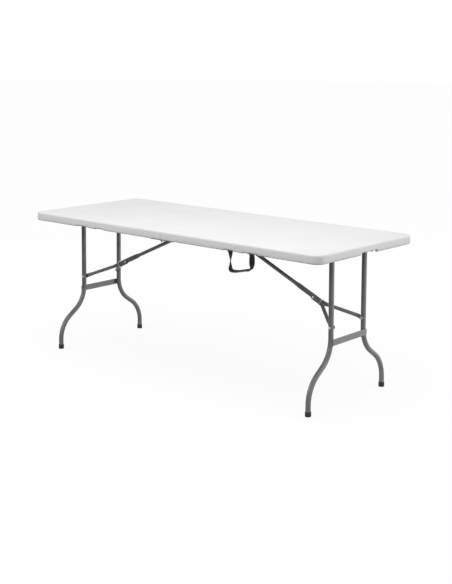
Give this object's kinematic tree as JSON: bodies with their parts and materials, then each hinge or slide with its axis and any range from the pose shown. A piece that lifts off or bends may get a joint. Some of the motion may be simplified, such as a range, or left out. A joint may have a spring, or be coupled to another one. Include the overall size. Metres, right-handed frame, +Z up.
{
  "type": "folding table",
  "caption": "Rectangular fold-in-half utility table with a white moulded top, grey wishbone tube legs, folding braces with lock rings and a webbing carry handle.",
  "frame": {"origin": "on the floor under the middle of the table", "axes": "+Z up, +X along the long side towards the half that carries the handle, -Y the long side with the handle"},
  "size_m": [1.8296, 0.7496, 0.737],
  "materials": {
    "top_plastic": "blow-moulded polyethylene, fine pebble texture, satin",
    "grey_frame": "grey powder coat, semi-gloss",
    "foot_plastic": "moulded, matte dark grey",
    "webbing": "woven black webbing, stitched ends",
    "latch_steel": "black powder coat",
    "zinc_plate": "zinc-plated sheet steel",
    "zinc_bright": "bright zinc-plated hardware"
  },
  "bodies": {
    "left_half": {"tabletop_left": "top_plastic", "side_rail_front_left": "grey_frame", "side_rail_rear_left": "grey_frame", "rail_screws_left": "zinc_bright", "pivot_bracket_front_left": "zinc_plate", "pivot_bracket_rear_left": "zinc_plate", "bracket_screws_left": "zinc_bright", "brace_anchor_tube_left": "grey_frame", "hinge_leaf_front_left": "zinc_plate", "hinge_leaf_rear_left": "zinc_plate", "hinge_screws_left": "zinc_bright", "hinge_pins": "zinc_bright", "latch_keeper": "zinc_bright"},
    "right_half": {"tabletop_right": "top_plastic", "side_rail_front_right": "grey_frame", "side_rail_rear_right": "grey_frame", "rail_screws_right": "zinc_bright", "pivot_bracket_front_right": "zinc_plate", "pivot_bracket_rear_right": "zinc_plate", "bracket_screws_right": "zinc_bright", "brace_anchor_tube_right": "grey_frame", "hinge_leaf_front_right": "zinc_plate", "hinge_leaf_rear_right": "zinc_plate", "hinge_screws_right": "zinc_bright", "handle_brackets": "zinc_plate", "handle_bars": "zinc_bright", "handle_screws": "zinc_bright", "latch_screw": "zinc_bright"},
    "left_leg_frame": {"leg_pivot_tube_left": "grey_frame", "leg_front_left": "grey_frame", "leg_rear_left": "grey_frame", "crossbar_left": "grey_frame", "foot_cap_front_left": "foot_plastic", "foot_cap_rear_left": "foot_plastic", "leg_bolts_left": "zinc_bright"},
    "left_brace": {"brace_sleeve_left": "grey_frame", "brace_link_left": "grey_frame"},
    "left_fork": {"fork_arm_front_left": "grey_frame", "fork_arm_rear_left": "grey_frame", "fork_nuts_left": "zinc_bright", "knuckle_rivet_left": "zinc_bright"},
    "left_ring": {"lock_ring_left": "zinc_bright"},
    "right_leg_frame": {"leg_pivot_tube_right": "grey_frame", "leg_front_right": "grey_frame", "leg_rear_right": "grey_frame", "crossbar_right": "grey_frame", "foot_cap_front_right": "foot_plastic", "foot_cap_rear_right": "foot_plastic", "leg_bolts_right": "zinc_bright"},
    "right_brace": {"brace_sleeve_right": "grey_frame", "brace_link_right": "grey_frame"},
    "right_fork": {"fork_arm_front_right": "grey_frame", "fork_arm_rear_right": "grey_frame", "fork_nuts_right": "zinc_bright", "knuckle_rivet_right": "zinc_bright"},
    "right_ring": {"lock_ring_right": "zinc_bright"},
    "handle": {"handle_strap": "webbing"},
    "latch": {"latch_lever": "latch_steel"}
  },
  "joints": [
    {"name": "centre_fold", "type": "hinge", "parent": "left_half", "child": "right_half", "pos_m": [0, 0, 0.69], "axis": [0, 1, 0], "range_deg": [0, 95]},
    {"name": "right_leg_fold", "type": "hinge", "parent": "right_half", "child": "right_leg_frame", "pos_m": [0.80482, 0, 0.709], "axis": [0, 1, 0], "range_deg": [0, 91.19]},
    {"name": "right_brace_fold", "type": "hinge", "parent": "right_half", "child": "right_brace", "pos_m": [0.075, 0, 0.707], "axis": [0, -1, 0], "range_deg": [0, 24.74]},
    {"name": "right_knuckle_fold", "type": "hinge", "parent": "right_brace", "child": "right_fork", "pos_m": [0.62056, 0, 0.45675], "axis": [0, 1, 0], "range_deg": [0, 180.38]},
    {"name": "right_ring_slide", "type": "slide", "parent": "right_fork", "child": "right_ring", "axis": [-0.9089, 0, 0.4169], "range_m": [0, 0.07]},
    {"name": "left_leg_fold", "type": "hinge", "parent": "left_half", "child": "left_leg_frame", "pos_m": [-0.80482, 0, 0.709], "axis": [0, -1, 0], "range_deg": [0, 91.19]},
    {"name": "left_brace_fold", "type": "hinge", "parent": "left_half", "child": "left_brace", "pos_m": [-0.075, 0, 0.707], "axis": [0, 1, 0], "range_deg": [0, 24.74]},
    {"name": "left_knuckle_fold", "type": "hinge", "parent": "left_brace", "child": "left_fork", "pos_m": [-0.62056, 0, 0.45675], "axis": [0, -1, 0], "range_deg": [0, 180.38]},
    {"name": "left_ring_slide", "type": "slide", "parent": "left_fork", "child": "left_ring", "axis": [0.9089, 0, 0.4169], "range_m": [0, 0.07]},
    {"name": "handle_swing", "type": "hinge", "parent": "right_half", "child": "handle", "pos_m": [0.4725, -0.347, 0.6903], "axis": [1, 0, 0], "range_deg": [-90, 90]},
    {"name": "latch_swing", "type": "hinge", "parent": "right_half", "child": "latch", "pos_m": [0.8959, 0.049, 0.711], "axis": [-1, 0, 0], "range_deg": [0, 90]}
  ],
  "couplings": [
    {"joint": "right_brace_fold", "follows": "right_leg_fold", "ratio": 0.27127},
    {"joint": "right_knuckle_fold", "follows": "right_leg_fold", "ratio": 1.978},
    {"joint": "left_brace_fold", "follows": "left_leg_fold", "ratio": 0.27127},
    {"joint": "left_knuckle_fold", "follows": "left_leg_fold", "ratio": 1.978}
  ]
}
